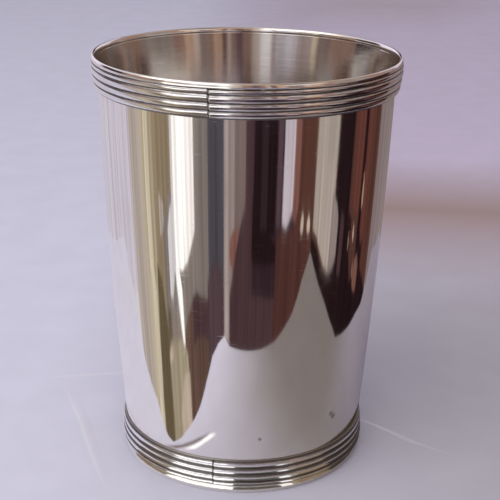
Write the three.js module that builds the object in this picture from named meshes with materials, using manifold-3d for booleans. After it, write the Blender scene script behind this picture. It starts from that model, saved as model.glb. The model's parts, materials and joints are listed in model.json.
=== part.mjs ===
// A silver julep cup: a tapering sheet wall with a turned-out lip, a pressed base pan,
// and a drawn reeded band soldered round the rim and round the foot.
// Millimetres, +Z up. The origin is on the cup's axis, in the plane that it stands on.

import * as THREE from "three";
import { mergeVertices } from "three/addons/utils/BufferGeometryUtils.js";
import Module from "manifold-3d";

const wasm = await Module();
wasm.setup();

// The wall: one sheet, outside diameters at its bottom edge and under the rim band,
// with a slight swell between the two
const cupHeight = 104.8;
const wallThickness = 0.7;
const wallBottomDiameter = 61.0;
const wallTopDiameter = 73.0;
const wallSwell = 0.75;

// The lip: the wall's own top edge, turned out beyond the wall and rounded over
const lipProjection = 1.6;
const lipHeight = 1.3;
const flareExponent = 1.7;

// The base pan: pressed sheet, a raised floor inside a channel that takes the wall's bottom edge
const panThickness = 0.7;
const panRecess = 3.2;
const panDomeRise = 0.5;
const panInnerShoulderRadius = 0.5;
const panEdgeHeight = 2.2;
const panEdgeThickness = 0.7;
const panCornerRadius = 0.3;

// The two bands: reed heights from the lower edge up, and sheet left behind the outermost grooves
const rimReedHeights = [1.67, 1.82, 1.94, 1.12];
const rimBandLowerThickness = 0.65;
const rimBandUpperThickness = 0.12;
const rimBandBow = 0.12;
const footReedHeights = [1.1, 1.95, 1.65, 1.95];
const footBandLowerThickness = 1.1;
const footBandUpperThickness = 0.16;
const footBandBow = 0.1;
const reedReliefShare = 0.17;

// The soldered joints: the gap between pieces, the fillets beside them, and the butt joints
// where each band's ends meet
const solderGap = 0.1;
const bandFilletLeg = 0.35;
const baseFilletLeg = 0.6;
const filletClearance = 0.05;
const buttJointWidth = 0.3;
const buttJointClearance = 0.05;
const cutOverrun = 2;

// Both butt joints lie on one line down the cup, a little left of the front
const jointAzimuth = THREE.MathUtils.degToRad(-12.7);

// Counts of facets: round the cup, and along each stretch of an outline
const facets = 64;
const swellSteps = 6;
const flareSteps = 5;
const lipSteps = 3;
const reedSteps = 4;
const panEdgeSteps = 4;
const cornerSteps = 2;
const shoulderSteps = 3;

// Where rounded stretches start and end, in quarter turns from the outward direction
const outward = 0;
const upward = 1;
const inward = 2;
const downward = 3;
const lipUndersideShare = -0.35;
const lipInsideShare = 2.1;
const panEdgeUndersideShare = -0.6;
const filletLowerShare = 0.35;
const filletUpperShare = 0.75;
const filletHollowShare = 1 / 3;

// Heights and radii that follow from the sizes above
const sum = (heights) => heights.reduce((total, height) => total + height, 0);
const wallBottomRadius = wallBottomDiameter / 2;
const wallTopRadius = wallTopDiameter / 2;
const lipRadius = wallTopRadius + lipProjection;
const wallBottom = panThickness + solderGap;
const panFloorTop = panRecess + panThickness;
const panShoulderRadius = panInnerShoulderRadius + panThickness;
const panShoulderBottom = panFloorTop - panShoulderRadius;
const lipMiddle = cupHeight - lipHeight / 2;
const lipUnderside = cupHeight - lipHeight;
const rimBandTop = lipUnderside - solderGap;
const rimBandBottom = rimBandTop - sum(rimReedHeights);
const footBandBottom = panEdgeHeight + solderGap;
const footBandTop = footBandBottom + sum(footReedHeights);

// A rise that is 0 at both ends of a stretch and 1 halfway along it
const swellAt = (along) => 4 * along * (1 - along);

// The wall's line without its lip, and with the flare that carries the lip above the band's lower edge
const taperRadius = (z) => {
  const along = (z - wallBottom) / (rimBandBottom - wallBottom);
  return wallBottomRadius + (wallTopRadius - wallBottomRadius) * along + wallSwell * swellAt(along);
};
const lipFlare = lipRadius - taperRadius(lipMiddle);
const wallOuterRadius = (z) => {
  const along = Math.max(0, (z - rimBandBottom) / (lipMiddle - rimBandBottom));
  return taperRadius(z) + lipFlare * Math.pow(along, flareExponent);
};
const wallInnerRadius = (z) => wallOuterRadius(z) - wallThickness;

// Evenly spaced values from start to end, both included
const spaced = (start, end, steps) => {
  const values = [];
  for (let step = 0; step <= steps; step += 1) {
    values.push(start + ((end - start) * step) / steps);
  }
  return values;
};

const point = (radius, z) => new THREE.Vector2(radius, z);

// Points on part of an ellipse, with its ends in quarter turns from the outward direction
const arc = (centreRadius, centreZ, halfWidth, halfHeight, startQuarter, endQuarter, steps) =>
  spaced(startQuarter, endQuarter, steps).map((quarter) => {
    const angle = (quarter * Math.PI) / 2;
    return point(centreRadius + halfWidth * Math.cos(angle), centreZ + halfHeight * Math.sin(angle));
  });

// A closed outline turned about the cup's axis, with a facet's middle on the butt joints' line
const turned = (outline) => {
  const firstEdge = jointAzimuth - Math.PI / facets;
  const geometry = new THREE.LatheGeometry(outline, facets, firstEdge, 2 * Math.PI);
  geometry.rotateX(Math.PI / 2);
  return geometry;
};

// The wall: up the outside to the lip, over the lip, and down the inside
const wallOutline = () => {
  const heights = [
    ...spaced(wallBottom, rimBandBottom, swellSteps),
    ...spaced(rimBandBottom, lipUnderside, flareSteps).slice(1),
  ];
  const outside = heights.map((z) => point(wallOuterRadius(z), z));
  const inside = [...heights].reverse().map((z) => point(wallInnerRadius(z), z));
  const halfWidth = wallThickness / 2;
  const halfHeight = lipHeight / 2;
  const lipCentre = lipRadius - halfWidth;
  const lipOutside = arc(lipCentre, lipMiddle, halfWidth, halfHeight, lipUndersideShare, upward, lipSteps);
  const lipInside = arc(lipCentre, lipMiddle, halfWidth, halfHeight, upward, lipInsideShare, lipSteps);
  return [...outside, ...lipOutside, ...lipInside.slice(1), ...inside, outside[0]];
};

// The pan, from the middle of its underside: recess, standing face, turned-up outer edge,
// channel for the wall's edge, shoulder and floor
const panOutline = () => {
  const legOuter = (z) => wallInnerRadius(Math.max(z, wallBottom)) - solderGap;
  const legInner = (z) => legOuter(z) - panThickness;
  const channelOuter = wallOuterRadius(panEdgeHeight) + solderGap;
  const edgeMiddle = channelOuter + panEdgeThickness / 2;
  const recessShoulder = arc(legInner(panShoulderBottom) - panInnerShoulderRadius, panShoulderBottom,
    panInnerShoulderRadius, panInnerShoulderRadius, upward, outward, shoulderSteps);
  const standingCorner = arc(legInner(panCornerRadius) + panCornerRadius, panCornerRadius,
    panCornerRadius, panCornerRadius, inward, downward, cornerSteps);
  const turnedEdge = arc(edgeMiddle, panEdgeHeight / 2,
    panEdgeThickness / 2, panEdgeHeight / 2, panEdgeUndersideShare, upward, panEdgeSteps);
  const floorShoulder = arc(legOuter(panShoulderBottom) - panShoulderRadius, panShoulderBottom,
    panShoulderRadius, panShoulderRadius, outward, upward, shoulderSteps);
  return [
    point(0, panRecess + panDomeRise),
    ...recessShoulder,
    ...standingCorner,
    point(edgeMiddle, 0),
    ...turnedEdge,
    point(channelOuter, panEdgeHeight),
    point(channelOuter, panThickness),
    point(legOuter(panThickness), panThickness),
    ...floorShoulder,
    point(0, panFloorTop + panDomeRise),
  ];
};

// A band's section: a face of round reeds, one for each height from the lower edge up, on a line
// that bows out a little, and a back that follows the wall one solder gap away
const bandOutline = (bottom, reedHeights, lowerThickness, upperThickness, bow) => {
  const height = sum(reedHeights);
  const top = bottom + height;
  const backRadius = (z) => wallOuterRadius(z) + solderGap;
  const lowerRadius = backRadius(bottom) + lowerThickness;
  const upperRadius = backRadius(top) + upperThickness;
  const grooveRadius = (z) => {
    const along = (z - bottom) / height;
    return lowerRadius + (upperRadius - lowerRadius) * along + bow * swellAt(along);
  };
  const face = [point(lowerRadius, bottom)];
  let reedBottom = bottom;
  for (const reedHeight of reedHeights) {
    for (const share of spaced(0, 1, reedSteps).slice(1)) {
      const z = reedBottom + reedHeight * share;
      const relief = reedHeight * reedReliefShare * Math.sin(share * Math.PI);
      face.push(point(grooveRadius(z) + relief, z));
    }
    reedBottom += reedHeight;
  }
  const back = spaced(top, bottom, flareSteps).map((z) => point(backRadius(z), z));
  return [...face, ...back, face[0]];
};

// A solder fillet between the wall and a band's level edge, under the edge or on top of it
const bandFilletOutline = (edge, side) => {
  const faceZ = edge + side * filletClearance;
  const hollowZ = faceZ + side * bandFilletLeg * filletHollowShare;
  const tipZ = faceZ + side * bandFilletLeg;
  const seat = (z) => wallOuterRadius(z) + filletClearance;
  const outline = [
    point(seat(faceZ), faceZ),
    point(seat(faceZ) + bandFilletLeg, faceZ),
    point(seat(hollowZ) + bandFilletLeg * filletHollowShare, hollowZ),
    point(seat(tipZ), tipZ),
    point(seat(faceZ), faceZ),
  ];
  return side > 0 ? outline : outline.reverse();
};

// The solder fillet inside the cup, between the pan's shoulder and the wall
const baseFilletOutline = () => {
  const shoulderCentre = wallInnerRadius(panShoulderBottom) - solderGap - panShoulderRadius;
  const reach = panShoulderRadius + filletClearance;
  const shoulder = arc(shoulderCentre, panShoulderBottom, reach, reach, filletLowerShare, filletUpperShare,
    shoulderSteps);
  const seat = (z) => wallInnerRadius(z) - filletClearance;
  const lowest = shoulder[0];
  const topZ = shoulder[shoulder.length - 1].y + baseFilletLeg;
  return [lowest, point(seat(lowest.y), lowest.y), point(seat(topZ), topZ), ...shoulder.slice(1).reverse(), lowest];
};

// A closed mesh as a solid that can be cut, and a cut solid as a mesh
const solidOf = (geometry) => {
  const bare = geometry.clone();
  bare.deleteAttribute("normal");
  bare.deleteAttribute("uv");
  const merged = mergeVertices(bare);
  const mesh = new wasm.Mesh({
    numProp: 3,
    vertProperties: new Float32Array(merged.attributes.position.array),
    triVerts: new Uint32Array(merged.index.array),
  });
  return new wasm.Manifold(mesh);
};

const geometryOf = (solid) => {
  const mesh = solid.getMesh();
  const geometry = new THREE.BufferGeometry();
  geometry.setAttribute("position", new THREE.BufferAttribute(mesh.vertProperties, 3));
  geometry.setIndex(new THREE.BufferAttribute(mesh.triVerts, 1));
  return geometry;
};

// An upright slab through one side of the cup, on the butt joints' line
const jointSlab = (width) => {
  const slab = new THREE.BoxGeometry(width, lipRadius, cupHeight + 2 * cutOverrun);
  slab.translate(0, -lipRadius, cupHeight / 2);
  slab.rotateZ(jointAzimuth);
  return solidOf(slab);
};

// A band bent round the cup and open at its butt joint, and the solder that fills the joint
const bentBand = (outline) => {
  const ring = solidOf(turned(outline));
  const band = ring.subtract(jointSlab(buttJointWidth));
  const solder = ring.intersect(jointSlab(buttJointWidth - 2 * buttJointClearance));
  return { band: geometryOf(band), solder: geometryOf(solder) };
};

// Polished silver, and the slightly greyer solder
const polishedSilver = () => new THREE.MeshStandardMaterial({ color: 0xd9d6d0, roughness: 0.12, metalness: 1 });
const solderSilver = () => new THREE.MeshStandardMaterial({ color: 0xb9b6ae, roughness: 0.35, metalness: 1 });

const cup = new THREE.Group();

const addPiece = (name, geometry, material) => {
  const mesh = new THREE.Mesh(geometry, material);
  mesh.name = name;
  cup.add(mesh);
};

const rim = bentBand(
  bandOutline(rimBandBottom, rimReedHeights, rimBandLowerThickness, rimBandUpperThickness, rimBandBow),
);
const foot = bentBand(
  bandOutline(footBandBottom, footReedHeights, footBandLowerThickness, footBandUpperThickness, footBandBow),
);

addPiece("cup_wall", turned(wallOutline()), polishedSilver());
addPiece("base_pan", turned(panOutline()), polishedSilver());
addPiece("rim_band", rim.band, polishedSilver());
addPiece("foot_band", foot.band, polishedSilver());
addPiece("rim_joint_solder", rim.solder, solderSilver());
addPiece("foot_joint_solder", foot.solder, solderSilver());
addPiece("rim_band_fillet", turned(bandFilletOutline(rimBandBottom, -1)), solderSilver());
addPiece("foot_band_fillet", turned(bandFilletOutline(footBandTop, 1)), solderSilver());
addPiece("base_fillet", turned(baseFilletOutline()), solderSilver());

export default cup;
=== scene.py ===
import json
import math

import bpy
from mathutils import Matrix, Vector, noise


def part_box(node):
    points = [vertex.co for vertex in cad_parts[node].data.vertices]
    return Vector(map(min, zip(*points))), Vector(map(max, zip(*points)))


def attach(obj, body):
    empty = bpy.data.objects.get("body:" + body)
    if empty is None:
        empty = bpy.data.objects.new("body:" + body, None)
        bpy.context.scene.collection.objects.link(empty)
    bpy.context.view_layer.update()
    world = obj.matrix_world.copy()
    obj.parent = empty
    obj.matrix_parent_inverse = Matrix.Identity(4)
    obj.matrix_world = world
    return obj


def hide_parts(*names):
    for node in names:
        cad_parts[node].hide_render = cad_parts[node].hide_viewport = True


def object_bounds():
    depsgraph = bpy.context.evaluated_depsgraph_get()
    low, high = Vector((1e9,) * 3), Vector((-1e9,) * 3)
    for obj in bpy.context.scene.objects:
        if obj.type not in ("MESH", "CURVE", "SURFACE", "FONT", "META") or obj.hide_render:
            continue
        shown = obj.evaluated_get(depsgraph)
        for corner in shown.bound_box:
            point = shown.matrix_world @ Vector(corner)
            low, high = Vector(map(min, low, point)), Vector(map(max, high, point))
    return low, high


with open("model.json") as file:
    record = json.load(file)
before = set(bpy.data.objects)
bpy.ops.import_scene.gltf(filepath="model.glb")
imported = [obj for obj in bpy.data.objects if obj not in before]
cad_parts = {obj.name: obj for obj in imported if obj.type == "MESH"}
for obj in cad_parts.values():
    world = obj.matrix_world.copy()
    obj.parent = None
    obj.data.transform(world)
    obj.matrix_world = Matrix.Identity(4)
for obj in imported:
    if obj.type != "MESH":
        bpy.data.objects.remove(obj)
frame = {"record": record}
cad_low, cad_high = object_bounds()

# The cup stands on z = 0 with its axis on Z. Azimuths run from the front (-Y) towards +X.
MM = 0.001

# The wall: sheet with a slight swell, its top edge turned out as the lip
CUP_HEIGHT = cad_high.z
WALL_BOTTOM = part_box("cup_wall")[0].z
WALL_THICKNESS = 0.7 * MM
WALL_BOTTOM_RADIUS = 30.5 * MM
WALL_TOP_RADIUS = 36.5 * MM
WALL_SWELL = 0.75 * MM
LIP_RADIUS = 38.1 * MM
LIP_HEIGHT = 1.3 * MM
LIP_THICKNESS = 1.0 * MM
LIP_CORNER = 0.15 * MM
LIP_FOOT = 0.1 * MM
FLARE_EXPONENT = 1.7
LIP_MIDDLE = CUP_HEIGHT - LIP_HEIGHT / 2
LIP_UNDERSIDE = CUP_HEIGHT - LIP_HEIGHT

# The bands: where they start, the heights of their reeds from below, and their section: how thick the metal
# is to the bottom of the grooves at the lower and the upper edge, and how far it bows out between them
RIM_BAND_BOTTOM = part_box("rim_band")[0].z
RIM_REED_HEIGHTS = [1.67 * MM, 1.82 * MM, 1.94 * MM, 1.12 * MM]
RIM_BAND_SECTION = (0.65 * MM, 0.12 * MM, 0.12 * MM)
FOOT_BAND_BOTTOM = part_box("foot_band")[0].z
FOOT_BAND_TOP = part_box("foot_band")[1].z
FOOT_REED_HEIGHTS = [1.1 * MM, 1.95 * MM, 1.65 * MM, 1.95 * MM]
FOOT_BAND_SECTION = (1.1 * MM, 0.16 * MM, 0.1 * MM)
# How the bands' darkening gathers towards the bottom of each groove: partly real tarnish in the hollows,
# partly painted shade in the grooves
RIM_TARNISH_AND_SHADE_EXPONENT = 1.9
FOOT_TARNISH_AND_SHADE_EXPONENT = 0.8
REED_RELIEF_SHARE = 0.17
REED_ROUNDNESS = 0.8

# The base pan: pressed sheet with a channel for the wall's edge
PAN_THICKNESS = 0.7 * MM
PAN_RECESS = 3.2 * MM
PAN_DOME_RISE = 0.5 * MM
PAN_INNER_SHOULDER = 0.5 * MM
PAN_OUTER_SHOULDER = PAN_INNER_SHOULDER + PAN_THICKNESS
PAN_SHOULDER_BOTTOM = PAN_RECESS + PAN_THICKNESS - PAN_OUTER_SHOULDER
PAN_EDGE_HEIGHT = 2.2 * MM
PAN_EDGE_THICKNESS = 0.7 * MM
PAN_CORNER_RADIUS = 0.3 * MM

# The soldered joints. The base fillet's seat on the pan's shoulder runs from and to these quarter turns
SOLDER_GAP = 0.1 * MM
BAND_FILLET_LEG = 0.35 * MM
BASE_FILLET_LEG = 0.6 * MM
BASE_FILLET_SEAT = (0.35, 0.75)
FILLET_CLEARANCE = 0.05 * MM
JOINT_AZIMUTH = math.radians(-12.7)
JOINT_HALF_WIDTH = 0.15 * MM
SOLDER_HALF_WIDTH = 0.12 * MM
SOLDER_SINK = 0.09 * MM

# How far the bands' ends stand above and below the band's line at the butt joints, and over what distance
RIM_END_RISE = 0.05 * MM
RIM_END_DROP = 0.16 * MM
FOOT_END_RISE = 0.1 * MM
FOOT_END_DROP = 0.07 * MM
END_REACH = 9.0 * MM

# The wall's waves and dimples from hammering and use, which fade out towards the bands
WAVE_HEIGHT = 0.02 * MM
WAVE_SIZE = 22 * MM
WAVE_SEED = 3.7
DIMPLE_HEIGHT = 0.0025 * MM
DIMPLE_SIZE = 7 * MM
DIMPLE_SEED = 9.1
FADE_REACH = 6 * MM

# Shallow dents in the wall: azimuth, height, reach and depth. A dent ends at this many reaches
DENTS = [
    (math.radians(-26), 13.5 * MM, 3.2 * MM, 0.035 * MM),
    (math.radians(8), 15.2 * MM, 0.5 * MM, 0.035 * MM),
    (math.radians(45), 17.5 * MM, 1.3 * MM, 0.03 * MM),
    (math.radians(118), 52 * MM, 5 * MM, 0.05 * MM),
    (math.radians(-150), 30 * MM, 4 * MM, 0.05 * MM),
]
DENT_REACHES = 3

# Spots of tarnish on the wall: azimuth, height and radius
SPOTS = [
    (math.radians(8), 15.2 * MM, 0.7 * MM),
    (math.radians(44.2), 18.2 * MM, 1.0 * MM),
    (math.radians(45.8), 17.2 * MM, 1.2 * MM),
]

# Steps round the cup, along each stretch of the outlines, and over the finer stretch next to a band's joint
FACETS = 360
WALL_STEPS = 72
FLARE_STEPS = 24
LIP_STEPS = 32
CORNER_STEPS = 6
DOME_STEPS = 24
INNER_SHOULDER_STEPS = 8
OUTER_SHOULDER_STEPS = 12
PAN_EDGE_STEPS = 28
REED_STEPS = 18
BAND_BACK_STEPS = 16
FILLET_STEPS = 8
FILLET_SEAT_STEPS = 6
SOLDER_STEPS = 4
JOINT_STEPS = 24
JOINT_TURN = math.radians(8)

# The wall's second and third material: inside, darkened as painted shade, and lip
SPUN_INDEX = 1
LIP_INDEX = 2


def swell_at(along):
    """A rise that is 0 at both ends of a stretch and 1 halfway along it."""
    return 4 * along * (1 - along)


def taper_radius(z):
    along = (z - WALL_BOTTOM) / (RIM_BAND_BOTTOM - WALL_BOTTOM)
    return WALL_BOTTOM_RADIUS + (WALL_TOP_RADIUS - WALL_BOTTOM_RADIUS) * along + WALL_SWELL * swell_at(along)


LIP_FLARE = LIP_RADIUS - taper_radius(LIP_MIDDLE)


def wall_outer(z):
    along = max(0.0, (z - RIM_BAND_BOTTOM) / (LIP_MIDDLE - RIM_BAND_BOTTOM))
    return taper_radius(z) + LIP_FLARE * along ** FLARE_EXPONENT


def wall_inner(z):
    return wall_outer(z) - WALL_THICKNESS


def spaced(start, end, steps):
    """Evenly spaced values from start to end, both included."""
    return [start + (end - start) * step / steps for step in range(steps + 1)]


def arc(centre_radius, centre_z, half_width, half_height, start_quarter, end_quarter, steps):
    """Points on part of an ellipse, with its ends in quarter turns from the outward direction."""
    points = []
    for quarter in spaced(start_quarter, end_quarter, steps):
        angle = quarter * math.pi / 2
        radius = centre_radius + half_width * math.cos(angle)
        points.append((radius, centre_z + half_height * math.sin(angle)))
    return points


def wall_outline():
    """Up the outside, over the lip and down the inside. Returns the points, and the rows of faces between
    them that make the lip and the spun inside."""
    heights = spaced(WALL_BOTTOM, RIM_BAND_BOTTOM, WALL_STEPS)
    heights += spaced(RIM_BAND_BOTTOM, LIP_UNDERSIDE, FLARE_STEPS)[1:]
    outside = [(wall_outer(z), z) for z in heights]
    inside = [(wall_inner(z), z) for z in reversed(heights)]
    lip_foot = [z for radius, z in inside if z > LIP_UNDERSIDE - LIP_FOOT]
    corner_z = LIP_UNDERSIDE + LIP_CORNER
    overhang = LIP_RADIUS - wall_outer(LIP_UNDERSIDE)
    half_width = LIP_THICKNESS / 2
    corner = arc(LIP_RADIUS - overhang, corner_z, overhang, LIP_CORNER, -1, 0, CORNER_STEPS)
    crown = arc(LIP_RADIUS - half_width, corner_z, half_width, CUP_HEIGHT - corner_z, 0, 2, LIP_STEPS)
    points = outside + corner[1:] + crown[1:] + inside
    lip_start = len(outside)
    inside_start = len(points) - len(inside) + len(lip_foot)
    return points, range(lip_start, inside_start), range(inside_start, len(points) - 1)


def pan_outline():
    """From the middle of the underside out to the edge, round the wall's channel, and back over the floor."""
    def leg_outer(z):
        return wall_inner(max(z, WALL_BOTTOM)) - SOLDER_GAP

    leg = leg_outer(PAN_SHOULDER_BOTTOM)
    recess_radius = leg - PAN_THICKNESS - PAN_INNER_SHOULDER
    floor_radius = leg - PAN_OUTER_SHOULDER
    channel_outer = wall_outer(PAN_EDGE_HEIGHT) + SOLDER_GAP
    edge_half = PAN_EDGE_THICKNESS / 2
    edge_middle = channel_outer + edge_half

    def dome(radius, height):
        return radius, height + PAN_DOME_RISE * (1 - (radius / floor_radius) ** 2)

    underside = [dome(recess_radius * share, PAN_RECESS) for share in spaced(0, 1, DOME_STEPS)]
    topside = [dome(floor_radius * share, PAN_RECESS + PAN_THICKNESS) for share in spaced(1, 0, DOME_STEPS)]
    return [
        *underside[:-1],
        *arc(recess_radius, PAN_SHOULDER_BOTTOM, PAN_INNER_SHOULDER, PAN_INNER_SHOULDER, 1, 0,
             INNER_SHOULDER_STEPS),
        *arc(leg_outer(0) - PAN_THICKNESS + PAN_CORNER_RADIUS, PAN_CORNER_RADIUS,
             PAN_CORNER_RADIUS, PAN_CORNER_RADIUS, 2, 3, CORNER_STEPS),
        *arc(edge_middle, PAN_EDGE_HEIGHT / 2, edge_half, PAN_EDGE_HEIGHT / 2, -1, 1, PAN_EDGE_STEPS),
        (channel_outer, PAN_EDGE_HEIGHT - edge_half / 2),
        (channel_outer, PAN_THICKNESS),
        (leg_outer(0), PAN_THICKNESS),
        *arc(floor_radius, PAN_SHOULDER_BOTTOM, PAN_OUTER_SHOULDER, PAN_OUTER_SHOULDER, 0, 1,
             OUTER_SHOULDER_STEPS),
        *topside[1:],
    ]


def band_outline(bottom, reed_heights, section, tarnish_and_shade_exponent, sink=0.0):
    """A band's section, from its lower edge up the reeds, with a back that follows the wall.
    Returns the points and, for each, how deep in a groove it lies, from 0 to 1, shaped by the exponent
    into the mask of the grooves' tarnish and painted shade."""
    lower_thickness, upper_thickness, bow = section
    height = sum(reed_heights)
    top = bottom + height

    def back(z):
        return wall_outer(z) + SOLDER_GAP

    def groove_line(z):
        along = (z - bottom) / height
        lower = back(bottom) + lower_thickness
        upper = back(top) + upper_thickness
        return lower + (upper - lower) * along + bow * swell_at(along)

    points = []
    depths = []
    reed_bottom = bottom
    for reed_height in reed_heights:
        for share in spaced(0, 1, REED_STEPS)[:-1]:
            z = reed_bottom + reed_height * share
            roundness = math.sin(share * math.pi) ** REED_ROUNDNESS
            points.append((groove_line(z) + reed_height * REED_RELIEF_SHARE * roundness - sink, z))
            # The groove's depth, shaped into the mask of tarnish and painted shade
            depths.append((1 - roundness) ** tarnish_and_shade_exponent)
        reed_bottom += reed_height
    points.append((groove_line(top) - sink, top))
    depths.append(1.0)
    for z in spaced(top, bottom, BAND_BACK_STEPS):
        points.append((back(z), z))
        depths.append(1.0)
    return points, depths


def fillet_outline(edge, side):
    """A hollow solder fillet between the wall and a band's level edge."""
    face = edge + side * FILLET_CLEARANCE
    points = [(wall_outer(face) + FILLET_CLEARANCE, face)]
    for share in spaced(0, 1, FILLET_STEPS):
        z = face + side * BAND_FILLET_LEG * share
        width = BAND_FILLET_LEG * (1 - math.sqrt(1 - (1 - share) ** 2))
        points.append((wall_outer(z) + FILLET_CLEARANCE + width, z))
    return points if side > 0 else points[::-1]


def base_fillet_outline():
    """The solder fillet inside the cup, between the pan's shoulder and the wall."""
    centre = wall_inner(PAN_SHOULDER_BOTTOM) - SOLDER_GAP - PAN_OUTER_SHOULDER
    reach = PAN_OUTER_SHOULDER + FILLET_CLEARANCE
    seat = arc(centre, PAN_SHOULDER_BOTTOM, reach, reach, *BASE_FILLET_SEAT, FILLET_SEAT_STEPS)
    low = seat[0]
    high = seat[-1]
    wall_top = high[1] + BASE_FILLET_LEG
    hollow = []
    for share in spaced(0, 1, FILLET_STEPS):
        z = wall_top + (high[1] - wall_top) * share
        radius = wall_inner(z) - FILLET_CLEARANCE
        hollow.append((radius + (high[0] - radius) * share ** 2, z))
    return [low, (wall_inner(low[1]) - FILLET_CLEARANCE, low[1]), *hollow[:-1], *seat[:0:-1]]


def place(azimuth, radius, z):
    return Vector((radius * math.sin(azimuth), -radius * math.cos(azimuth), z))


def put_in_scene(name, data):
    item = bpy.data.objects.new(name, data)
    bpy.context.scene.collection.objects.link(item)
    return item


def outline_lengths(outline):
    """The way along a closed outline to each of its points, and round to the first again."""
    lengths = [0.0]
    for (r0, z0), (r1, z1) in zip(outline, outline[1:] + outline[:1]):
        lengths.append(lengths[-1] + math.hypot(r1 - r0, z1 - z0))
    return lengths


def revolved_faces(rows, lengths, closed, full):
    """The faces between rows of vertices, and each corner's share of the turn and length along the outline.
    A closed outline joins its last row to its first. A turn that isn't full has a face at each end."""
    faces = []
    face_uvs = []
    count = len(rows[0])
    for step in range(len(rows) if closed else len(rows) - 1):
        low = rows[step]
        high = rows[(step + 1) % len(rows)]
        for column in range(count if full else count - 1):
            after = (column + 1) % count
            corners = [(low[column], column, step), (low[after], column + 1, step),
                       (high[after], column + 1, step + 1), (high[column], column, step + 1)]
            kept = []
            for corner in corners:
                if corner[0] not in [other[0] for other in kept]:
                    kept.append(corner)
            faces.append([corner[0] for corner in kept])
            face_uvs.append([(corner[1] / count, lengths[corner[2]]) for corner in kept])
    if not full:
        faces.append([row[0] for row in rows])
        faces.append([row[-1] for row in reversed(rows)])
        face_uvs.append([(0.0, length) for length in lengths[:-1]])
        face_uvs.append([(1.0, length) for length in reversed(lengths[:-1])])
    return faces, face_uvs


def revolve(name, outline, depths=None, azimuths=None, shift=None):
    """Turns an outline about the axis: all the way round, or along a list of azimuths with closed ends.
    Each vertex carries its groove depth, and the UV map is in metres round the cup and along the outline."""
    full = azimuths is None
    if full:
        azimuths = [math.pi + 2 * math.pi * step / FACETS for step in range(FACETS)]
    depths = depths or [0.0] * len(outline)

    vertices = []
    groove = []
    rows = []
    for (radius, z), depth in zip(outline, depths):
        if radius == 0:
            rows.append([len(vertices)] * len(azimuths))
            vertices.append(Vector((0, 0, z)))
            groove.append(depth)
            continue
        row = []
        for azimuth in azimuths:
            out, rise = shift(azimuth, radius, z) if shift else (0.0, 0.0)
            row.append(len(vertices))
            vertices.append(place(azimuth, radius + out, z + rise))
            groove.append(depth)
        rows.append(row)
    closed = outline[0][0] > 0
    faces, face_uvs = revolved_faces(rows, outline_lengths(outline), closed, full)

    mesh = bpy.data.meshes.new(name)
    mesh.from_pydata(vertices, [], faces)
    uv_layer = mesh.uv_layers.new(name="surface")
    turn = 2 * math.pi * max(radius for radius, z in outline)
    uv_layer.data.foreach_set("uv", [value for uvs in face_uvs for u, v in uvs for value in (u * turn, v)])
    mesh.attributes.new("groove", "FLOAT", "POINT").data.foreach_set("value", groove)
    mesh.shade_smooth()
    mesh.validate()
    return put_in_scene(name, mesh)


def turn_between(azimuth, centre):
    """The turn from one azimuth to another, up to half a turn to either side."""
    return (azimuth - centre + math.pi) % (2 * math.pi) - math.pi


def ripple(position, seed, size):
    """A smooth random value between -1 and 1 that varies over the given size."""
    return noise.noise(position / size + Vector((seed, seed, seed)))


def wall_shift(azimuth, radius, z):
    """The sheet's slight waves and dimples, fading out towards the bands, and its dents."""
    position = place(azimuth, radius, z)
    above_foot = max(0.0, (z - FOOT_BAND_TOP) / FADE_REACH)
    below_rim = max(0.0, (RIM_BAND_BOTTOM - z) / FADE_REACH)
    waves = WAVE_HEIGHT * ripple(position, WAVE_SEED, WAVE_SIZE)
    dimples = DIMPLE_HEIGHT * ripple(position, DIMPLE_SEED, DIMPLE_SIZE)
    out = min(1.0, above_foot, below_rim) * (waves + dimples)
    for dent_azimuth, dent_z, reach, depth in DENTS:
        distance = math.hypot(turn_between(azimuth, dent_azimuth) * radius, z - dent_z) / reach
        if distance < DENT_REACHES:
            out -= depth * math.exp(-distance * distance)
    return out, 0.0


def end_shift(rise, drop):
    """The band's ends at its butt joint: the left one a little high, the right one a little low."""
    def shift(azimuth, radius, z):
        turn = turn_between(azimuth, JOINT_AZIMUTH)
        near = math.exp(-abs(turn) * radius / END_REACH)
        return 0.0, (rise if turn < 0 else -drop) * near
    return shift


def solder_shift(rise, drop):
    """The joint's solder stands between the two ends' levels."""
    return lambda azimuth, radius, z: (0.0, (rise - drop) / 2)


def solder_azimuths(radius):
    reach = SOLDER_HALF_WIDTH / radius
    return spaced(JOINT_AZIMUTH - reach, JOINT_AZIMUTH + reach, SOLDER_STEPS)


def band_azimuths(radius):
    """From the joint all the way round to the joint again, with finer steps near it."""
    reach = JOINT_HALF_WIDTH / radius
    start = JOINT_AZIMUTH + reach
    end = JOINT_AZIMUTH + 2 * math.pi - reach
    first = spaced(start, start + JOINT_TURN, JOINT_STEPS)
    middle = spaced(start + JOINT_TURN, end - JOINT_TURN, FACETS)
    return first + middle[1:-1] + spaced(end - JOINT_TURN, end, JOINT_STEPS)


def build_wall():
    outline, lip_rows, inside_rows = wall_outline()
    wall = revolve("cup_wall_sheet", outline, shift=wall_shift)
    for face in wall.data.polygons:
        row = face.index // FACETS
        if row in inside_rows:
            face.material_index = SPUN_INDEX
        elif row in lip_rows:
            face.material_index = LIP_INDEX
    return wall


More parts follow.
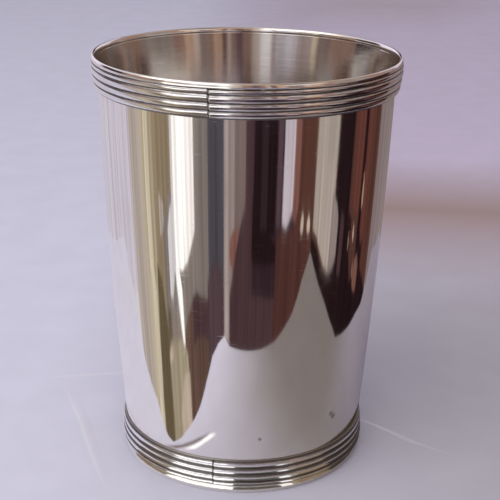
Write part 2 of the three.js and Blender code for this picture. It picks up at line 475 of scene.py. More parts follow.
def build_pieces():
    """Each CAD node's own piece."""
    pieces = {"cup_wall": build_wall()}
    pieces["base_pan"] = revolve("base_pan_pressing", pan_outline())

    for node, bottom, heights, section, exponent, rise, drop in (
        ("rim_band", RIM_BAND_BOTTOM, RIM_REED_HEIGHTS, RIM_BAND_SECTION, RIM_TARNISH_AND_SHADE_EXPONENT,
         RIM_END_RISE, RIM_END_DROP),
        ("foot_band", FOOT_BAND_BOTTOM, FOOT_REED_HEIGHTS, FOOT_BAND_SECTION, FOOT_TARNISH_AND_SHADE_EXPONENT,
         FOOT_END_RISE, FOOT_END_DROP),
    ):
        outline, depths = band_outline(bottom, heights, section, exponent)
        radius = outline[0][0]
        pieces[node] = revolve(node + "_reeds", outline, depths, band_azimuths(radius), end_shift(rise, drop))
        sunk, depths = band_outline(bottom, heights, section, exponent, SOLDER_SINK)
        joint = node.replace("_band", "_joint_solder")
        pieces[joint] = revolve(joint + "_fill", sunk, depths, solder_azimuths(radius),
                                solder_shift(rise, drop))

    pieces["rim_band_fillet"] = revolve("rim_band_fillet_bead", fillet_outline(RIM_BAND_BOTTOM, -1))
    pieces["foot_band_fillet"] = revolve("foot_band_fillet_bead", fillet_outline(FOOT_BAND_TOP, 1))
    pieces["base_fillet"] = revolve("base_fillet_bead", base_fillet_outline())
    return pieces


# Materials

# Smooth noise lies mostly between these values
NOISE_LOW = 0.3
NOISE_HIGH = 0.7

# The silver's clouds of haze, specks of tarnish and rings from spinning, each as many to a metre
CLOUDS_PER_METRE = 55.0
SPECKS_PER_METRE = 700.0
RINGS_PER_METRE = 16000.0

# Haze lies where the clouds rise from the first value to the second, and smudges spread a little wider
HAZE_RANGE = (0.5, 0.75)
HAZE_STRENGTH = 0.22
HAZE_SHADES = (0.9, 0.85, 0.74)
SMUDGE_RANGE = (0.35, 0.75)

# Tarnish, in the grooves partly painted shade: how much the specks add to the grooves, where it starts and
# is full, and how rough it makes silver
SPECK_SHARE = 0.35
STAIN_AND_SHADE_RANGE = (0.25, 0.7)
STAIN_ROUGHNESS = 0.35
SPOT_CORE_SHARE = 0.2
SPOT_STRENGTH = 0.6

# Hairline scratches: the noise values where they start and are full, and their depth
HAIRLINE_RANGE = (0.67, 0.77)
SCRATCH_DEPTH = 0.004 * MM

# Sets of scratches: angle in degrees, how many along and across in a metre, and strength
STRAY_LINES = [(12, 90, 7000, 1.0), (-38, 120, 9000, 0.8), (71, 100, 8000, 0.7)]
ROUND_LINES = [(0, 25, 14000, 1.0), (4, 60, 9000, 0.6)]
WORN_LINES = [(8, 150, 5000, 1.0), (-25, 180, 6000, 1.0), (60, 140, 5000, 1.0)]

BROWN_TARNISH = (0.1, 0.075, 0.05)
# The bands' tarnish colour, also the painted shade in their grooves
GREY_TARNISH_AND_SHADE = (0.08, 0.072, 0.074)
BASE_TARNISH = (0.1, 0.08, 0.06)
SOLDER_TARNISH = (0.06, 0.05, 0.04)


def feed(tree, socket, value):
    """Links another node's output to a socket, or sets the socket to a plain value."""
    if isinstance(value, bpy.types.NodeSocket):
        tree.links.new(value, socket)
    else:
        socket.default_value = value


def math_node(tree, operation, first, second):
    node = tree.nodes.new("ShaderNodeMath")
    node.operation = operation
    feed(tree, node.inputs[0], first)
    feed(tree, node.inputs[1], second)
    return node.outputs["Value"]


def vector_node(tree, operation, first, second=(0, 0, 0)):
    node = tree.nodes.new("ShaderNodeVectorMath")
    node.operation = operation
    feed(tree, node.inputs[0], first)
    feed(tree, node.inputs[1], second)
    return node.outputs


def attribute(tree, name):
    node = tree.nodes.new("ShaderNodeAttribute")
    node.attribute_name = name
    return node.outputs


def spread(tree, value, low, high, to_low=0.0, to_high=1.0):
    """Maps a value from one range to another, smoothly."""
    node = tree.nodes.new("ShaderNodeMapRange")
    node.interpolation_type = "SMOOTHSTEP"
    feed(tree, node.inputs["Value"], value)
    for key, number in (("From Min", low), ("From Max", high), ("To Min", to_low), ("To Max", to_high)):
        node.inputs[key].default_value = number
    return node.outputs["Result"]


def mix_colour(tree, factor, first, second):
    """Goes from the first colour to the second. Each is a plain colour or another node's output."""
    node = tree.nodes.new("ShaderNodeMix")
    node.data_type = "RGBA"
    sockets = [socket for socket in node.inputs if socket.type == "RGBA"]
    feed(tree, node.inputs["Factor"], factor)
    for socket, value in zip(sockets, (first, second)):
        feed(tree, socket, (*value, 1.0) if isinstance(value, tuple) else value)
    return next(socket for socket in node.outputs if socket.type == "RGBA")


def patches(tree, coordinates, scale, detail):
    """Smooth noise, as many patches to a unit as the scale says."""
    node = tree.nodes.new("ShaderNodeTexNoise")
    node.inputs["Scale"].default_value = scale
    node.inputs["Detail"].default_value = detail
    tree.links.new(coordinates, node.inputs["Vector"])
    return node.outputs["Fac"]


def hairlines(tree, uv, angle, along, across, amount):
    """Fine scratches in one direction, long one way and thin across it."""
    turned = tree.nodes.new("ShaderNodeMapping")
    turned.inputs["Rotation"].default_value = (0, 0, math.radians(angle))
    turned.inputs["Scale"].default_value = (along, across, 1)
    tree.links.new(uv, turned.inputs["Vector"])
    return spread(tree, patches(tree, turned.outputs["Vector"], 1.0, 2.0), *HAIRLINE_RANGE, 0.0, amount)


def scratched(tree, uv, lines):
    """Several sets of scratches, the strongest one at each place."""
    scratches, *others = [hairlines(tree, uv, *each) for each in lines]
    for layer in others:
        scratches = math_node(tree, "MAXIMUM", scratches, layer)
    return scratches


def ringed(tree, coordinates, normal, slopes):
    """A normal whose slope goes from one value to another and back from ring to ring, as spinning does."""
    parts = tree.nodes.new("ShaderNodeSeparateXYZ")
    tree.links.new(coordinates, parts.inputs["Vector"])
    height = tree.nodes.new("ShaderNodeCombineXYZ")
    tree.links.new(parts.outputs["Z"], height.inputs["Z"])
    rings = patches(tree, height.outputs["Vector"], RINGS_PER_METRE, 1.0)
    tilt = tree.nodes.new("ShaderNodeCombineXYZ")
    tree.links.new(spread(tree, rings, NOISE_LOW, NOISE_HIGH, *slopes), tilt.inputs["Z"])
    level = vector_node(tree, "MULTIPLY", normal, (1, 1, 0))
    total = vector_node(tree, "ADD", level["Vector"], tilt.outputs["Vector"])
    return vector_node(tree, "NORMALIZE", total["Vector"])["Vector"]


def spotted(tree, coordinates, stain_and_painted_shade, spots):
    """Adds small spots of tarnish, each at its place on the wall and of its own radius, to the mask of
    tarnish and painted shade.
    """
    for azimuth, z, radius in spots:
        distance = vector_node(tree, "DISTANCE", coordinates, place(azimuth, wall_outer(z), z))
        spot = spread(tree, distance["Value"], SPOT_CORE_SHARE * radius, radius, SPOT_STRENGTH, 0.0)
        stain_and_painted_shade = math_node(tree, "MAXIMUM", stain_and_painted_shade, spot)
    return stain_and_painted_shade


def silver(name, tint, tarnish, roughness, smudge, scratch, lines, relief=0.35, settled_tarnish_and_shade=0.85, spun=None,
           spots=()):
    """Polished silver: smudged and scratched, with tarnish left in its grooves and in faint specks. In the
    grooves the darkening is partly real tarnish and partly painted shade. Where it is spun, fine rings round
    the cup tilt its normal up, by slopes between the two given."""
    material = bpy.data.materials.new(name)
    material.use_nodes = True
    tree = material.node_tree
    shader = tree.nodes["Principled BSDF"]
    shader.inputs["Metallic"].default_value = 1.0
    coordinates = tree.nodes.new("ShaderNodeTexCoord").outputs

    cloud = patches(tree, coordinates["Object"], CLOUDS_PER_METRE, 5.0)
    specks = patches(tree, coordinates["Object"], SPECKS_PER_METRE, 3.0)
    scratches = scratched(tree, coordinates["UV"], lines)

    # The darkening from grooves and specks: tarnish, and in the grooves painted shade as well
    specked = math_node(tree, "ADD", attribute(tree, "groove")["Fac"],
                        math_node(tree, "MULTIPLY", specks, SPECK_SHARE))
    stain_and_painted_shade = spread(tree, specked, *STAIN_AND_SHADE_RANGE, 0.0, settled_tarnish_and_shade)
    stain_and_painted_shade = spotted(tree, coordinates["Object"], stain_and_painted_shade, spots)
    haze = spread(tree, cloud, *HAZE_RANGE, 0.0, HAZE_STRENGTH)
    hazed = tuple(channel * shade for channel, shade in zip(tint, HAZE_SHADES))
    dulled = mix_colour(tree, haze, tint, hazed)
    tree.links.new(mix_colour(tree, stain_and_painted_shade, dulled, tarnish), shader.inputs["Base Color"])

    rough = spread(tree, cloud, *SMUDGE_RANGE, roughness, roughness + smudge)
    rough = math_node(tree, "ADD", rough, math_node(tree, "MULTIPLY", stain_and_painted_shade, STAIN_ROUGHNESS))
    rough = math_node(tree, "ADD", rough, math_node(tree, "MULTIPLY", scratches, scratch))
    tree.links.new(rough, shader.inputs["Roughness"])

    bump = tree.nodes.new("ShaderNodeBump")
    bump.invert = True
    bump.inputs["Strength"].default_value = relief
    bump.inputs["Distance"].default_value = SCRATCH_DEPTH
    tree.links.new(scratches, bump.inputs["Height"])
    normal = bump.outputs["Normal"]
    if spun:
        normal = ringed(tree, coordinates["Object"], normal, spun)
    tree.links.new(normal, shader.inputs["Normal"])
    return material


def build_materials():
    """Each slot's own silver, and the two others of the wall: spun inside, darkened as painted shade,
    and worn on the lip.
    """
    return {
        "wall_silver": silver(
            "mirror silver", (0.9, 0.885, 0.86), BROWN_TARNISH, roughness=0.045, smudge=0.04, scratch=0.12,
            lines=STRAY_LINES, relief=0.2, spots=SPOTS),
        # The reeds' grooves darken to tarnish that is partly painted shade
        "band_silver": silver(
            "reeded silver", (0.885, 0.885, 0.895), GREY_TARNISH_AND_SHADE, roughness=0.11, smudge=0.05, scratch=0.14,
            lines=ROUND_LINES, settled_tarnish_and_shade=0.9),
        # Painted shade: the inside's tint is far darker than silver, to dim the light that bounces round
        # inside the cup
        "spun_silver_in_painted_shade": silver(
            "spun silver inside in painted shade", (0.55, 0.522, 0.5), BROWN_TARNISH, roughness=0.1, smudge=0.03, scratch=0.1,
            lines=ROUND_LINES, relief=0.04, spun=(0.12, 0.27)),
        "lip_silver": silver(
            "worn silver of the lip", (0.9, 0.88, 0.85), BROWN_TARNISH, roughness=0.1, smudge=0.06,
            scratch=0.12, lines=ROUND_LINES),
        "base_silver": silver(
            "worn base silver", (0.84, 0.82, 0.78), BASE_TARNISH, roughness=0.12, smudge=0.12, scratch=0.2,
            lines=WORN_LINES),
        "silver_solder": silver(
            "silver solder", (0.34, 0.32, 0.3), SOLDER_TARNISH, roughness=0.32, smudge=0.12, scratch=0.1,
            lines=STRAY_LINES),
    }


# Studio

def tone(red, green, blue, level=1.0):
    """A colour written in screen values from 0 to 255, as light."""
    linear = []
    for channel in (red, green, blue):
        value = channel / 255
        linear.append(level * (value / 12.92 if value <= 0.04045 else ((value + 0.055) / 1.055) ** 2.4))
    return tuple(linear)


DAZZLE = tone(255, 252, 248, 1.5)
WHITE = tone(255, 251, 248, 1.12)
BLUSH = tone(250, 242, 240)
IVORY = tone(246, 234, 212)
PEARL = tone(216, 212, 214)
LAVENDER = tone(206, 199, 213)
STRAW = tone(208, 196, 174)
PEACH = tone(200, 182, 166)
LILAC = tone(194, 182, 192)
SAND = tone(192, 178, 156)
BISQUE = tone(178, 158, 146)
OAT = tone(176, 164, 156)
MIST = tone(175, 169, 177)
STONE = tone(174, 160, 152)
FAWN = tone(170, 152, 150)
DRAB = tone(168, 155, 133)
CLAY = tone(168, 138, 120)
SHADE = tone(146, 124, 120)
OLIVE = tone(144, 127, 104)
ROSE = tone(144, 130, 128)
PEWTER = tone(142, 140, 156)
OCHRE = tone(142, 122, 96)
MAUVE = tone(134, 119, 120)
TAUPE = tone(130, 119, 114)
BARK = tone(130, 104, 94)
RUST = tone(124, 84, 76)
UMBER = tone(122, 105, 102)
DARK_OLIVE = tone(98, 86, 66)
GARNET = tone(98, 56, 51)
COCOA = tone(97, 74, 66)
MOSS = tone(92, 90, 82)
BRICK = tone(84, 54, 47)
DUSK = tone(82, 64, 70)
RUSSET = tone(80, 50, 46)
MAROON = tone(74, 54, 58)
SLATE = tone(72, 69, 76)
BLACK_OLIVE = tone(60, 54, 42)
CHARCOAL = tone(50, 36, 42)
SOOT = tone(34, 21, 24)

# Glowing cards round the cup that only its reflections show, a painted reflection of the room, its window
# and its dark and shaded places. Each has a colour and its edges: azimuth, lower and upper elevation, in
# degrees. A later card stands in front of the earlier ones. The wall and the reeds show the cards up to EYE,
# the inside and the lip those from EYE to SKY, and the lip's top those above SKY
LOW, BROW, EYE, SKY, TOP = -60, -11, 3, 36, 86
CARDS = [
    (LAVENDER, [(-180, LOW, EYE), (-104, LOW, EYE)]),
    (LILAC, [(-104, LOW, EYE), (-101, LOW, EYE)]),
    (OAT, [(-101, LOW, EYE), (-89, LOW, EYE)]),
    (SAND, [(-89, LOW, EYE), (-85, LOW, EYE)]),
    (STRAW, [(-85, LOW, EYE), (-80.5, LOW, EYE)]),
    (DRAB, [(-80.5, LOW, EYE), (-76.5, LOW, EYE)]),
    (OLIVE, [(-76.5, LOW, EYE), (-57, LOW, EYE)]),
    (TAUPE, [(-57, LOW, EYE), (-29, LOW, EYE)]),
    (SLATE, [(-29, LOW, EYE), (-16, LOW, EYE)]),
    (ROSE, [(-16, LOW, EYE), (-8, LOW, EYE)]),
    (UMBER, [(-8, LOW, EYE), (0, LOW, EYE)]),
    (MAROON, [(0, LOW, EYE), (6, LOW, EYE)]),
    (CHARCOAL, [(6, LOW, EYE), (40, LOW, EYE)]),
    (BRICK, [(40, LOW, EYE), (76, LOW, EYE)]),
    (SOOT, [(76, LOW, EYE), (128, LOW, EYE)]),
    (MAUVE, [(126, LOW, EYE), (180, LOW, EYE)]),

    (PEARL, [(-113, -29, -26), (-107, -31, -24.5), (-102, -30, -25.5)]),
    (STRAW, [(-86, -33, -25), (-82, -34, -24), (-79, -33, -26)]),
    (OAT, [(-72, -22.5, -19), (-68, -22, -20)]),
    (TAUPE, [(-69, -30, -22), (-64, -30, -19.5), (-57, -30, -19)]),
    (PEARL, [(-64.5, -27, -22), (-62, -27.2, -20.5), (-60, -26, -20)]),
    (PEARL, [(-60, -25.5, EYE), (-57, -25.5, EYE)]),
    (DARK_OLIVE, [(-80, -45, -34.5), (-76.9, -45, -24.2), (-73, -45, -25.5), (-70, -45, -28), (-68, -44, -30),
                  (-67.8, -30.2, -27.5), (-65, -30.5, -28)]),
    (WHITE, [(-58, -25.2, EYE), (-52, -25.4, EYE), (-47, -24.8, EYE), (-43, -23.4, EYE)]),
    (BLUSH, [(-47, -24.8, EYE), (-43, -23.5, EYE), (-40.3, -22.6, EYE)]),
    (WHITE, [(-58.5, -26, -25), (-55.5, -29, -25), (-53, -31.2, -27), (-52.2, -31.5, -30)]),
    (COCOA, [(-52, -40, -29.6), (-47, -40, -28.4), (-42, -40, -27.4), (-30, -40, -27.8)]),
    (MAROON, [(-44, -31, -27.6), (-40, -30.5, -27.2), (-34, -30.5, -27.8), (-30, -31, -28)]),
    (DRAB, [(-69, -36.5, -31.5), (-67, -37.5, -30.2), (-55, -37.5, -30.2), (-50, -36.5, -31.5)]),
    (PEACH, [(-69, -31.8, -30.8), (-65, -31.4, -30.2)]),
    (PEACH, [(-60, -38, -35.6), (-54, -37.8, -33), (-49, -37.6, -33)]),
    (DUSK, [(-30, -40, -26.5), (-24, -40, -25), (-17, -40, -26)]),
    (FAWN, [(-16.5, -31, EYE), (-13, -31, EYE)]),
    (OAT, [(-15.5, -31, EYE), (-14.3, -31, EYE)]),
    (RUST, [(-12, -25, -23.6), (-9.5, -26, -22.8), (-5, -24.6, -22.4)]),
    (MAROON, [(-12, -40, -27.6), (-8, -40, -25.2), (-4, -40, -22.6), (0, -40, -21), (6, -40, -24.6)]),
    (SOOT, [(5.5, -25.2, -21.5), (12, -25.4, EYE), (13, -25.4, -22.5), (28, -25, -24)]),
    (CHARCOAL, [(12, -22.8, EYE), (17, -22.4, EYE)]),
    (SOOT, [(17, -23, EYE), (23.5, -23, EYE)]),
    (DUSK, [(24.5, -22.4, EYE), (28, -22.4, EYE)]),
    (MAROON, [(4, -40, -27.6), (20, -40, -27.8), (30, -40, -27.6)]),
    (RUSSET, [(25, -40, -22.8), (40, -40, -22.2), (52, -40, -22.4)]),
    (LILAC, [(29.3, -22.2, EYE), (33, -22.4, EYE), (36, -21.6, EYE), (38.4, -20.6, EYE)]),
    (RUST, [(37.5, -21.5, EYE), (40, -22, EYE), (42.5, -20.5, EYE)]),
    (PEACH, [(44.8, -22.4, -21.8), (46.2, -22.6, -20.9), (47.4, -22.2, -21.4)]),
    (PEACH, [(50.4, -22.2, -21.6), (51.8, -22.4, -21), (53.2, -22.1, -21.5)]),
    (STONE, [(56, -22, EYE), (60, -22.4, EYE), (64, -23.5, EYE), (68, -24.4, EYE), (75, -24.9, EYE)]),
    (OAT, [(60, -16.8, EYE), (75, -16.6, EYE)]),
    (ROSE, [(73, -24.9, -18.8), (78, -24.3, -19.6), (80.3, -23.4, -20.6)]),
    (SOOT, [(55, -40, -22.4), (60, -40, -23), (66, -40, -24.6), (80, -40, -24.9)]),
    (MAROON, [(83, -24.6, -20), (87, -24.6, -20.4)]),
    (BRICK, [(91, -19.8, EYE), (95.5, -20.2, EYE)]),
    (BRICK, [(95.5, -22.8, EYE), (100, -24.6, EYE), (104, -22.8, EYE)]),
    (GARNET, [(96, -19.6, EYE), (103, -19.8, EYE)]),
    (RUST, [(104, -24.6, -22.8), (107, -25, -22.2), (110, -24.8, -23)]),
    (GARNET, [(107.5, -20.6, EYE), (111, -21.5, EYE), (114, -20.6, EYE)]),
    (BRICK, [(113, -23, EYE), (126, -24, EYE)]),
    (CLAY, [(93.4, -22.2, -21.8), (93.9, -22.5, -21), (94.4, -22.1, -21.7)]),
    (PEACH, [(98.6, -21.3, -20.9), (99.2, -21.7, -20.3), (99.8, -21.2, -20.8)]),
    (CLAY, [(106.2, -18.6, -18), (107.2, -19.2, -16.4), (108.4, -18.8, -17.6)]),
    (BARK, [(101.8, -23.9, -23.5), (102.6, -24.3, -22.9), (103.6, -24, -23.6)]),
]

# Cards with level edges, tier by tier: lower and upper elevation, level, and each card's colour, start and
# end azimuth
TIERS = [
    (BROW, EYE, 1.0, [
        (MIST, -104, -84), (STONE, -84, -61), (TAUPE, 30, 42), (CLAY, 42, 56), (UMBER, 56, 66),
        (COCOA, 66, 84), (CHARCOAL, 84, 106), (SOOT, 106, 122), (BARK, 122, 132), (MAUVE, 132, 180),
    ]),
    (BROW - 1.5, EYE, 1.0, [(DAZZLE, -61, -12), (PEWTER, -12, 30)]),
    (EYE, SKY, 1.4, [
        (SOOT, -180, -168), (LAVENDER, -168, -128), (CHARCOAL, -128, -98), (BARK, -98, -72),
        (UMBER, -72, -60), (SAND, -60, -55), (ROSE, -55, -42), (MIST, -42, -24), (ROSE, -24, -20),
        (PEARL, -20, -11), (STONE, -11, -4), (BARK, -4, 4), (DUSK, 4, 9), (BARK, 9, 14), (STONE, 14, 17),
        (RUSSET, 17, 21), (CLAY, 21, 28), (BARK, 28, 34), (UMBER, 34, 40), (BISQUE, 40, 46),
        (CLAY, 46, 53), (BARK, 53, 64), (TAUPE, 64, 96), (BARK, 96, 118), (MAUVE, 118, 134),
        (LILAC, 134, 168), (SOOT, 168, 180),
    ]),
    (22, SKY, 1.0, [(PEARL, -128, -84), (DAZZLE, -84, -14), (PEARL, 28, 60)]),
    (SKY, TOP, 1.0, [
        (LAVENDER, -180, -110), (IVORY, -110, -84), (DAZZLE, -84, -14), (BISQUE, -14, 30), (TAUPE, 30, 60),
        (CLAY, 60, 105), (OAT, 105, 180),
    ]),
    (62, TOP, 1.0, [(STONE, -84, -14)]),
]

# Elevations are seen from this height on the axis. Each card stands a little nearer than the one before,
# and follows the ring in steps of this many degrees
CARD_EYE = 50 * MM
CARD_DISTANCE = 1.2
CARD_SPACING = 1.5 * MM
CARD_STEP = 2.0

# The cards' upright streaks: how many to a degree, how long for their width, and the levels they go between
STREAKS_PER_DEGREE = 0.45
STREAK_STRETCH = 12
STREAK_LEVELS = (0.8, 1.2)

# Glowing cards flat on the floor next to the foot, which only the foot's reeds show: a painted reflection
# of the floor there, bright where light falls and dark where shade falls. Colour, start and end azimuth,
# and outer radius in millimetres
FOOT_PAINTED_REFLECTION_CARDS = [
    (LAVENDER, -180, -66, 41), (OCHRE, -66, -52, 40), (OLIVE, -52, -40, 40.5), (DAZZLE, -40, -4, 41.5),
    (MOSS, -4, 20, 41.5), (WHITE, 20, 26, 41.5), (DRAB, 26, 30, 41.5), (OCHRE, 30, 50, 41),
    (BLACK_OLIVE, 50, 128, 41), (OLIVE, 128, 150, 41), (STONE, 150, 180, 41),
]
FOOT_CARD_START = 32.6 * MM
FOOT_CARD_LIFT = 0.2 * MM

# The floor that the camera sees, and the part of it that reflections show, its edge in millimetres as seen
# from above. Each cloth goes from its left colour to its right one across the cup, and on the right to the
# one behind: painted light and shade, lighter on the left towards the window, darker on the right, away from
# it and in the cup's shadow, and lighter again behind
FLOOR_HALF = 20.0
FLOOR_CLOTH_IN_PAINTED_LIGHT = {
    "left": tone(194, 193, 206), "right": tone(161, 157, 163), "behind": tone(184, 173, 190),
    "across": (-70 * MM, 95 * MM), "back": (60 * MM, 260 * MM),
}
CLOTH_EDGE = [
    (-25, -103), (-18, -98), (0, -97), (40, -94), (72, -97), (102, -106), (131, -110), (120, -78),
    (111, -52), (100, -31), (95, -24), (98, -13), (102, 1), (108, 20), (110, 38), (135, 92), (110, 150),
    (0, 170), (-100, 150), (-170, 60), (-119, 8), (-85, -8), (-55, -25), (-36, -29), (-32, -31),
    (-31, -36), (-32, -56), (-34, -70), (-35, -86), (-31, -96),
]
# The cloth that reflections show, in painted light and shade: bright on the left, darker and warmer on the
# right in the cup's shadow, lighter again behind
NEAR_CLOTH_IN_PAINTED_LIGHT = {
    "left": tone(234, 231, 238), "right": tone(150, 141, 134), "behind": tone(186, 179, 188),
    "across": (-45 * MM, 48 * MM), "back": (-40 * MM, 20 * MM),
}
MOTTLES_PER_METRE = 60.0
MOTTLE_STRENGTH = 0.3
MOTTLE_SHADE = 0.86

# Soft glowing lines on the cloth: colour, cover, half width in millimetres, and points as seen from above.
# The folds are seen in the cup only: the painted shade and painted highlight of a fold. The creases, painted
# light and shade where the cloth's creases catch the light, and the warm painted shade behind the cup and a
# faint one far behind it, are seen by the camera only
PAINTED_FOLD_LIGHT_AND_SHADE = [
    # A painted shade line and a painted highlight line of a fold in the cloth, seen in the cup
    (UMBER, 1.0, 1.3, [(-31.5, -25), (-29, -31), (-26.5, -37), (-23, -43), (-19.5, -50)]),
    (DAZZLE, 0.9, 1.5, [(-25.5, -34), (-23, -39), (-20.5, -44), (-18, -48), (-16, -51)]),
]
PAINTED_CREASES_AND_SHADE = [
    # Painted shade: the cup's warm shadow behind it, and a faint shade far behind
    (SHADE, 0.9, 85, [(10, 215), (60, 205), (110, 200), (170, 205), (230, 215)]),
    (ROSE, 0.4, 160, [(20, 840), (90, 830), (160, 820), (260, 820)]),
    # Painted light and shade of the cloth's creases
    (PEARL, 0.35, 1.1, [(-60, 33), (-49, 34), (-38, 36), (-20, 44)]),
    (PEARL, 0.4, 0.9, [(-52, 27), (-46, 8), (-40, -12), (-34, -32)]),
    (LILAC, 0.5, 0.8, [(-50, 28), (-44, 9), (-38, -11), (-32, -31)]),
    (PEARL, 0.2, 1.0, [(30, 12), (38, 4), (46, -4), (56, -12)]),
]
FOLD_LIFT = 0.3 * MM

# A soft window light from the left front, the pale room, and the darker room that reflections show
WINDOW_SIZE = (0.95, 0.75)
WINDOW_POWER = 8.0
WINDOW_AZIMUTH = math.radians(-30)
WINDOW_DISTANCE = 0.6
WINDOW_HEIGHT = 0.9
WINDOW_AIM = (0, 0, 0.05)
ROOM = tone(216, 212, 222)
REFLECTED_ROOM = tone(112, 102, 94)

# The camera in front of the cup, at the photograph's viewing angle
CAMERA_DISTANCE = 292.892 * MM
CAMERA_HEIGHT = 158.029 * MM
CAMERA_YAW = math.radians(0.2821)
CAMERA_PITCH = math.radians(19.677)
CAMERA_ROLL = math.radians(0.9097)
CAMERA_CLIP = 10 * MM
SENSOR_WIDTH = 36.0
FOCAL_LENGTH = 86.32


def glow_material(name):
    """A new material with a glow and nothing else. Returns it with its node tree and its Emission node."""
    material = bpy.data.materials.new(name)
    material.use_nodes = True
    tree = material.node_tree
    tree.nodes.remove(tree.nodes["Principled BSDF"])
    glow = tree.nodes.new("ShaderNodeEmission")
    tree.links.new(glow.outputs[0], tree.nodes["Material Output"].inputs["Surface"])
    return material, tree, glow


def set_tones(mesh, tones):
    """Gives each vertex its colour."""
    colours = mesh.attributes.new("tone", "FLOAT_COLOR", "POINT")
    colours.data.foreach_set("color", [value for colour in tones for value in (*colour, 1.0)])


def only_in_reflections(item):
    item.visible_camera = False
    item.visible_diffuse = False
    item.visible_shadow = False
    item.visible_transmission = False
    item.visible_volume_scatter = False


def card_material():
    """Each card's own colour as a glow, a painted reflection, broken up by fine upright streaks."""
    material, tree, glow = glow_material("studio card")
    streaks = patches(tree, attribute(tree, "turn")["Vector"], STREAKS_PER_DEGREE, 3.0)
    tree.links.new(attribute(tree, "tone")["Color"], glow.inputs["Color"])
    tree.links.new(spread(tree, streaks, NOISE_LOW, NOISE_HIGH, *STREAK_LEVELS), glow.inputs["Strength"])
    return material


def card_knots(edges):
    """A card's edges, with steps short enough to follow the ring."""
    knots = [edges[0]]
    for (a0, l0, h0), (a1, l1, h1) in zip(edges, edges[1:]):
        steps = max(1, round((a1 - a0) / CARD_STEP))
        for share in spaced(0, 1, steps)[1:]:
            knots.append((a0 + (a1 - a0) * share, l0 + (l1 - l0) * share, h0 + (h1 - h0) * share))
    return knots


def ring_cards():
    """Each upright card's colour and its pairs of points from below, with their places in the streaks."""
    cards = list(CARDS)
    for low, high, level, entries in TIERS:
        for colour, start, end in entries:
            cards.append((tuple(level * value for value in colour), [(start, low, high), (end, low, high)]))
    for order, (colour, edges) in enumerate(cards):
        distance = CARD_DISTANCE - order * CARD_SPACING
        pairs = []
        for azimuth, *elevations in card_knots(edges):
            for elevation in elevations:
                z = CARD_EYE + distance * math.tan(math.radians(elevation))
                point = place(math.radians(azimuth), distance, z)
                pairs.append((point, (azimuth, elevation / STREAK_STRETCH, order)))
        yield colour, pairs


def foot_painted_reflection_cards():
    """The same for the flat glowing cards round the foot, from inside, a painted reflection of the floor
    there.
    """
    for order, (colour, start, end, reach) in enumerate(FOOT_PAINTED_REFLECTION_CARDS):
        pairs = []
        for azimuth in spaced(start, end, round((end - start) / CARD_STEP)):
            for radius in (FOOT_CARD_START, reach * MM):
                point = place(math.radians(azimuth), radius, FOOT_CARD_LIFT)
                pairs.append((point, (azimuth, radius / MM, order)))
        yield colour, pairs


def build_cards():
    """One object with every card as a strip of quads."""
    vertices = []
    faces = []
    tones = []
    turns = []
    for colour, pairs in (*ring_cards(), *foot_painted_reflection_cards()):
        first = len(vertices)
        for point, turn in pairs:
            vertices.append(point)
            tones.append(colour)
            turns.extend(turn)
        for a in range(first, len(vertices) - 2, 2):
            faces.append([a, a + 1, a + 3, a + 2])
    mesh = bpy.data.meshes.new("studio_cards")
    mesh.from_pydata(vertices, [], faces)
    set_tones(mesh, tones)
    mesh.attributes.new("turn", "FLOAT_VECTOR", "POINT").data.foreach_set("vector", turns)
    mesh.materials.append(card_material())
    ring = put_in_scene("studio_cards", mesh)
    only_in_reflections(ring)


def cloth_material(name, left, right, behind, across, back):
    """A pale matt cloth with a faint mottle, whose colour goes from left to right across the cup and, on the
    right, to another one behind it: painted light and shade, lit on the left and shaded on the right."""
    material = bpy.data.materials.new(name)
    material.use_nodes = True
    tree = material.node_tree
    shader = tree.nodes["Principled BSDF"]
    shader.inputs["Roughness"].default_value = 0.85
    shader.inputs["Specular IOR Level"].default_value = 0.1
    position = tree.nodes.new("ShaderNodeTexCoord").outputs["Object"]
    parts = tree.nodes.new("ShaderNodeSeparateXYZ")
    tree.links.new(position, parts.inputs["Vector"])
    # Painted light and shade across the cloth and, on the right, towards the back
    painted_light_across = spread(tree, parts.outputs["X"], *across)
    painted_light_back = spread(tree, parts.outputs["Y"], *back)
    mottle = patches(tree, position, MOTTLES_PER_METRE, 6.0)
    mottle = spread(tree, mottle, NOISE_LOW, NOISE_HIGH, 0.0, MOTTLE_STRENGTH)
    shades = []
    for level in (1.0, MOTTLE_SHADE):
        near, far, rear = (tuple(level * value for value in colour) for colour in (left, right, behind))
        front = mix_colour(tree, painted_light_across, near, far)
        shades.append(mix_colour(tree, math_node(tree, "MULTIPLY", painted_light_across, painted_light_back), front, rear))
    tree.links.new(mix_colour(tree, mottle, *shades), shader.inputs["Base Color"])
    return material


def flat_sheet(name, corners, material):
    mesh = bpy.data.meshes.new(name)
    mesh.from_pydata([(x, y, 0) for x, y in corners], [], [list(range(len(corners)))])
    mesh.materials.append(material)
    return put_in_scene(name, mesh)


def strip_material(name):
    """A glow of each vertex's tone that covers what is under it by each vertex's cover."""
    material, tree, glow = glow_material(name)
    tree.links.new(attribute(tree, "tone")["Color"], glow.inputs["Color"])
    clear = tree.nodes.new("ShaderNodeBsdfTransparent")
    blend = tree.nodes.new("ShaderNodeMixShader")
    tree.links.new(attribute(tree, "cover")["Fac"], blend.inputs["Fac"])
    tree.links.new(clear.outputs[0], blend.inputs[1])
    tree.links.new(glow.outputs[0], blend.inputs[2])
    tree.links.new(blend.outputs[0], tree.nodes["Material Output"].inputs["Surface"])
    return material


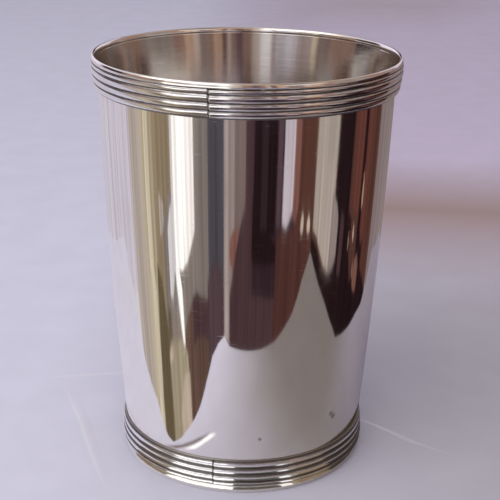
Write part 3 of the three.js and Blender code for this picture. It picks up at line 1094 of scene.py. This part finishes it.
def soft_strips(name, strips):
    """Strips of glow on the floor, painted light and shade, whose colour fades out towards both edges and
    both ends.
    """
    vertices = []
    faces = []
    tones = []
    covers = []
    for colour, cover, half_width, middle in strips:
        first = len(vertices)
        last = len(middle) - 1
        for step, (x, y) in enumerate(middle):
            before = Vector(middle[max(step - 1, 0)])
            after = Vector(middle[min(step + 1, last)])
            side = (after - before).orthogonal().normalized() * half_width
            for share in (-1, 0, 1):
                vertices.append(((x + side.x * share) * MM, (y + side.y * share) * MM, FOLD_LIFT))
                tones.append(colour)
                covers.append(cover if 0 < step < last and share == 0 else 0.0)
        for step in range(last):
            for a in (first + 3 * step, first + 3 * step + 1):
                faces.append([a, a + 1, a + 4, a + 3])
    mesh = bpy.data.meshes.new(name)
    mesh.from_pydata(vertices, [], faces)
    set_tones(mesh, tones)
    mesh.attributes.new("cover", "FLOAT", "POINT").data.foreach_set("value", covers)
    mesh.materials.append(strip_material(name))
    item = put_in_scene(name, mesh)
    item.visible_shadow = False
    item.visible_diffuse = False
    return item


def build_floor():
    """The floor and its painted creases and shade for the camera, and the near cloth and its painted fold for
    reflections, both cloths with painted light and shade in their colour.
    """
    half = FLOOR_HALF
    floor = flat_sheet("floor", [(-half, -half), (half, -half), (half, half), (-half, half)],
                       cloth_material("pale cloth", **FLOOR_CLOTH_IN_PAINTED_LIGHT))
    floor.visible_glossy = False
    floor.visible_shadow = False
    painted_creases = soft_strips("floor_painted_creases_and_shade", PAINTED_CREASES_AND_SHADE)
    painted_creases.visible_glossy = False
    near = flat_sheet("floor_near_the_cup", [(x * MM, y * MM) for x, y in CLOTH_EDGE],
                      cloth_material("pale cloth near the cup", **NEAR_CLOTH_IN_PAINTED_LIGHT))
    painted_fold = soft_strips("floor_painted_fold_light_and_shade", PAINTED_FOLD_LIGHT_AND_SHADE)
    only_in_reflections(near)
    only_in_reflections(painted_fold)


def build_lights():
    """The window light, and the room as an even fill."""
    lamp = bpy.data.lights.new("window_light", "AREA")
    lamp.shape = "RECTANGLE"
    lamp.size, lamp.size_y = WINDOW_SIZE
    lamp.energy = WINDOW_POWER
    window = put_in_scene("window_light", lamp)
    # The lamp is hidden from reflections; the glowing cards paint its reflection instead
    window.visible_glossy = False
    window.location = place(WINDOW_AZIMUTH, WINDOW_DISTANCE, WINDOW_HEIGHT)
    window.rotation_euler = (Vector(WINDOW_AIM) - window.location).to_track_quat("-Z", "Y").to_euler()

    world = bpy.data.worlds.new("studio")
    world.use_nodes = True
    bpy.context.scene.world = world
    tree = world.node_tree
    background = tree.nodes["Background"]
    paths = tree.nodes.new("ShaderNodeLightPath")
    room = mix_colour(tree, paths.outputs["Is Glossy Ray"], ROOM, REFLECTED_ROOM)
    tree.links.new(room, background.inputs["Color"])
    background.inputs["Strength"].default_value = 1.0


def build_camera():
    data = bpy.data.cameras.new("camera")
    data.sensor_width = SENSOR_WIDTH
    data.lens = FOCAL_LENGTH
    data.clip_start = CAMERA_CLIP
    camera = put_in_scene("camera", data)
    camera.matrix_world = (
        Matrix.Translation((0, -CAMERA_DISTANCE, CAMERA_HEIGHT))
        @ Matrix.Rotation(-CAMERA_YAW, 4, "Z")
        @ Matrix.Rotation(math.pi / 2 - CAMERA_PITCH, 4, "X")
        @ Matrix.Rotation(CAMERA_ROLL, 4, "Z"))
    bpy.context.scene.camera = camera


def dress():
    """Puts each piece in its node's place, in its slot's silver."""
    materials = build_materials()
    slots = {row["node"]: row["material_slot"] for row in frame["record"]["subparts"]}
    for node, piece in build_pieces().items():
        piece.data.materials.append(materials[slots[node]])
        if node == "cup_wall":
            piece.data.materials.append(materials["spun_silver_in_painted_shade"])
            piece.data.materials.append(materials["lip_silver"])
        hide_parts(node)
        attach(piece, "root")


bpy.context.scene.view_settings.view_transform = "Standard"
bpy.context.scene.cycles.glossy_bounces = 14
bpy.context.scene.cycles.max_bounces = 16
build_camera()
build_lights()
build_floor()
build_cards()
dress()
